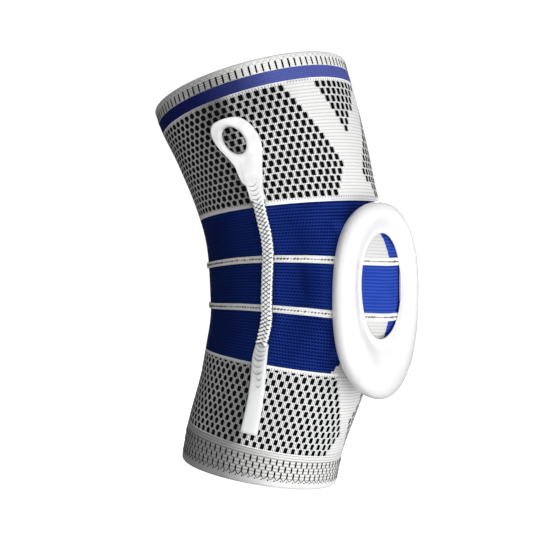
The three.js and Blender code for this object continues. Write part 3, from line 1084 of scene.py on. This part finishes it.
def on_bed(bed, across, up, out):
    here = bed_terms(across, up) @ bed
    side = bed_terms(across + 0.5, up) @ bed - bed_terms(across - 0.5, up) @ bed
    rise = bed_terms(across, up + 0.5) @ bed - bed_terms(across, up - 0.5) @ bed
    return here + unit(np.cross(side, rise)) * out[..., None]


share, lift = ring_profile.T[:, None, :]
ring_across, ring_up = (
    hole + share * (rim - hole) for hole, rim in zip(oval(*ring_hole), oval(*ring_rim)))
dent = 2.0 * np.exp(-((ring_across + 8) / 8) ** 2 - ((ring_up + 40) / 10) ** 2)
ring_out = np.clip(lift, 0, 1) * (ring_thickness - dent)
kneecap_ring = lofted("kneecap_ring", on_bed(ring_bed(), ring_across, ring_up, ring_out), True,
                      [materials["silicone"]], sharp=180)


# The side stays

head_profile = rounded([
    (0.05, 0.0), (0.5, 0.0), (0.95, 0.0), (0.995, 0.15), (1.0, 0.6), (0.975, 0.88),
    (0.92, 0.98), (0.75, 1.0), (0.5, 1.0), (0.28, 0.97), (0.14, 0.86), (0.04, 0.62),
    (0.0, 0.35), (0.0, 0.12)], 48)
strip_face = rounded([
    (0.08, 0.0), (0.5, 0.0), (0.92, 0.0), (1.0, 0.25), (0.985, 0.62), (0.9, 0.88), (0.72, 0.97),
    (0.5, 1.0), (0.28, 0.97), (0.1, 0.88), (0.015, 0.62), (0.0, 0.25)], 36)


def stay_head(side):
    """The head: walls of one width between the eye and the outline."""
    up = [(row[2] * head_half_width, row[0] * head_rise) for row in head_outline]
    down = [(-row[1] * head_half_width, row[0] * head_rise) for row in head_outline[::-1]]
    rim = rounded(up + down, 132, closed=False)
    rim = np.concatenate([rim, np.linspace(rim[-1], rim[0], 12)[1:-1]])
    middle = np.array([-eye_back, eye_height * head_rise])
    ray = rim - middle
    bearing = np.arctan2(ray[:, 1], ray[:, 0]) - math.radians(eye_tilt)
    radius = 1 / np.hypot(np.cos(bearing) / eye_half_width, np.sin(bearing) / eye_half_height)
    eye = ray / np.linalg.norm(ray, axis=1)[:, None] * radius[:, None] + middle
    length = np.linalg.norm(rim - eye, axis=1)[:, None]
    near = np.minimum(1, 7.5 / length)
    s = head_profile[:, 0][None, :]
    s = np.where(s < 0.5, s * near, 1 - (1 - s) * near)
    x = eye[:, :1] + s * (rim[:, :1] - eye[:, :1])
    y = eye[:, 1:] + s * (rim[:, 1:] - eye[:, 1:])
    out = clearance + np.clip(head_profile[:, 1], 0, 1)[None, :] * head_thickness
    around = np.unwrap(bearing) + math.radians(eye_tilt + 90)
    around = np.append(around, around[0] + 2 * np.pi) / (2 * np.pi)

    def place(i, j):
        return (head_profile[j % len(head_profile), 0], around[i])

    loops = on_stay(side, x, head_low + y, out)
    return lofted("head", loops, True, [materials["plastic"]], place, 50)


def strip(name, side, top, bottom, width, thickness, seat, material, flare=1.0, uv=False):
    """A flat bar down the stay's path, wider by a flare at its lower end."""
    heights = np.linspace(top, bottom, int((top - bottom) / 1.5) + 2)
    x = (strip_face[:, 0] - 0.5) * width
    out = seat + np.clip(strip_face[:, 1], 0, 1) * thickness
    spread = np.interp(heights, [bottom, bottom + 30, top - 9, top], [flare, 1.0, 1.0, 2 - flare])
    loops = on_stay(side, x[None, :] * spread[:, None], heights[:, None], out[None, :])

    def place(i, j):
        return (x[j % len(x)] / width * 0.5 + 0.5, (heights[i] + map_base) / map_span)

    return lofted(name, loops, False, [material], place if uv else None, 50)


def stay_line(side, across, top, bottom, out):
    """A path down the stay and its outward directions."""
    heights = np.linspace(top, bottom, 90)
    line = on_stay(side, across, heights, out)
    return line, unit(on_stay(side, across, heights, out + 1) - line), False


seat = rib_proud + clearance
tape_thickness = tail_thickness * 0.8
# The arcs on the tape: shift across, top, width and tilt.
tape_arcs = ((0.3, -35.2, 8.0, 3), (-0.3, -43.8, 6.6, -5), (1.2, -52.0, 3.4, 9))
for word, side in (("right", -1), ("left", 1)):
    line = stay_line(side, 0, 68.6, 60.0, clearance + head_thickness - 0.12)
    collar = repeated("collar", line, smile, materials["shade"], 2.3, (6.6, 2.2, 0.5), 0, 0.05)
    head = joined(f"{word}_stay_head", [stay_head(side), collar])
    # A dark strip under the wires, as painted shade where the gaps between them fall in shade.
    rows = [strip("core", side, head_low - clearance, -coil_down, coil_width * 0.84,
                  coil_thickness * 0.5, seat, materials["core"])]
    # Two crossing rows of white wires, with dark bars in their gaps as painted shade.
    for row in (-1, 1):
        for name, top, low, out, finish, size, uneven, seed in (
                ("row", 1.5, 2.2, 1.75 + row * 0.1, "coil", wire_size, 0.04, 21),
                ("gap", 2.95, 0.75, 3.2, "core", wire_gap, 0.15, 22)):
            line = stay_line(side, 0, head_low - top, -coil_down + low, seat + out)
            rows.append(repeated(name, line, wire, materials[finish], wire_pitch, size,
                                 90.0 + row * wire_lean, uneven, seed))
    line = stay_line(side, 0, head_low - 1.2, -coil_down + 0.9, seat + 1.0)
    rows.append(repeated("cap", line, wire, materials["coil"], 46.0, wire_end, 0.0, 0.0, 23))
    coil = joined(f"{word}_stay_coil", rows)
    parts = [strip("tape", side, -coil_down - clearance, -tail_down, tail_width * 0.98,
                   tape_thickness, clearance, materials["tail"], flare=1.14, uv=True)]
    for shift, top, wide, tilt in tape_arcs:
        line = stay_line(side, shift, top, top - 9, clearance + tape_thickness - 0.2)
        parts.append(repeated("arcs", line, smile, materials["shade"], 2.9,
                              (wide, 2.8, 0.5), tilt, 0.05))
    tail = joined(f"{word}_stay_tail", parts)
    for piece, node, slot in (
            (head, "head", "stay_plastic"), (coil, "coil", "stay_coil"),
            (tail, "tail", "stay_tape")):
        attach(piece, "root")
        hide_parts(f"stay_{word}_{node}")

for source in (strand, wire, block, smile):
    drop(source)

for piece, nodes, slot in (
        (thigh_knit, ("upper_cuff", "upper_stripe", "thigh_sleeve"), "mesh_knit"),
        (knee_knit, ("knee_panel_upper", "knee_rib_upper", "knee_panel_middle",
                     "knee_rib_lower", "knee_panel_lower"), "blue_knit"),
        (calf_knit, ("calf_sleeve", "lower_cuff"), "mesh_knit"),
        (kneecap_ring, ("patella_ring",), "silicone")):
    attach(piece, "root")
    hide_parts(*nodes)
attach(cuff_ticks, "root")
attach(rib_stitches, "root")


# Camera, light and floor

def bearing(azimuth, elevation):
    a, e = math.radians(azimuth), math.radians(elevation)
    return np.array([math.sin(a) * math.cos(e), -math.cos(a) * math.cos(e), math.sin(e)])


def aim(obj, place, target):
    back = unit(np.asarray(place, float) - np.asarray(target, float))
    right = unit(np.cross([0, 0, 1], back))
    up = np.cross(back, right)
    obj.matrix_world = mathutils.Matrix((
        (right[0], up[0], back[0], place[0]), (right[1], up[1], back[1], place[1]),
        (right[2], up[2], back[2], place[2]), (0, 0, 0, 1)))


back = bearing(camera_azimuth, camera_elevation)
sideways = unit(np.cross([0, 0, 1], back))
upwards = np.cross(back, sideways)
camera = linked("camera", bpy.data.cameras.new("camera"))
camera.data.lens = camera_lens
camera.data.sensor_width = 36.0
target = (sideways * camera_aim[0] + upwards * camera_aim[1]) * MM
aim(camera, back * camera_distance, target)
bpy.context.scene.camera = camera


lamp_distance = 1.8
sky_strength = 0.21
stage_glow = 1.05


def lamp(name, azimuth, elevation, size, power):
    light = bpy.data.lights.new(name, "AREA")
    light.shape = "DISK"
    light.size = size
    light.energy = power
    aim(linked(name, light), bearing(azimuth, elevation) * lamp_distance, (0, 0, 0))


for name, azimuth, elevation, size, power in (
        ("key light", -24, -1, 2.2, 40), ("side light", 32, -12, 1.0, 7),
        ("low light", -62, -42, 0.9, 4.5), ("rear light", -105, 20, 1.2, 7),
        ("back light", 125, 12, 1.2, 26)):
    lamp(name, azimuth, elevation, size, power)

world = bpy.data.worlds.new("studio")
world.use_nodes = True
studio = Tree(world.node_tree, "ShaderNode")
air = studio.node("Background", None, {"Color": (1, 1, 1, 1), "Strength": sky_strength})
studio.node("OutputWorld", None, {"Surface": air}, out=None)
bpy.context.scene.world = world
bpy.context.scene.view_settings.view_transform = "Standard"


def stage_sheet(name, points, faces, albedo):
    """A glowing sheet of the stage, which neither lights nor shades the piece."""
    paint = Paint(name + " paint")
    shine = paint.node("Emission", None, {"Color": (1, 1, 1, 1), "Strength": stage_glow})
    matte = paint.node("BsdfDiffuse", None, {"Color": (*grey(albedo), 1)})
    both = paint.node("AddShader", None, {0: shine, 1: matte})
    paint.node("OutputMaterial", None, {"Surface": both}, out=None)
    mesh = bpy.data.meshes.new(name)
    mesh.from_pydata(points, [], faces)
    mesh.materials.append(paint.material)
    obj = linked(name, mesh)
    obj.visible_diffuse = obj.visible_glossy = obj.visible_shadow = False
    obj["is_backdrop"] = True


stage_radius, stage_sides = 8, 64
stage_depth, stage_height = 2, 12
floor_level = float(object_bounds()[0][2]) - 0.0006
rim = [(stage_radius * math.cos(t), stage_radius * math.sin(t))
       for t in np.linspace(0, 2 * math.pi, stage_sides, endpoint=False)]
stage_sheet("floor", [(x, y, floor_level) for x, y in rim], [tuple(range(stage_sides))], 0.2)
wall = [(x, y, z) for z in (floor_level - stage_depth, stage_height) for x, y in rim]
panels = [(i, (i + 1) % stage_sides, stage_sides + (i + 1) % stage_sides, stage_sides + i)
          for i in range(stage_sides)]
ceiling = tuple(range(stage_sides, 2 * stage_sides))
stage_sheet("backdrop", wall, panels + [ceiling], 0.0)

{name: [[float(x) for x in corner] for corner in box] for name, box in (("cad", cad_box), ("visual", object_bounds()))}
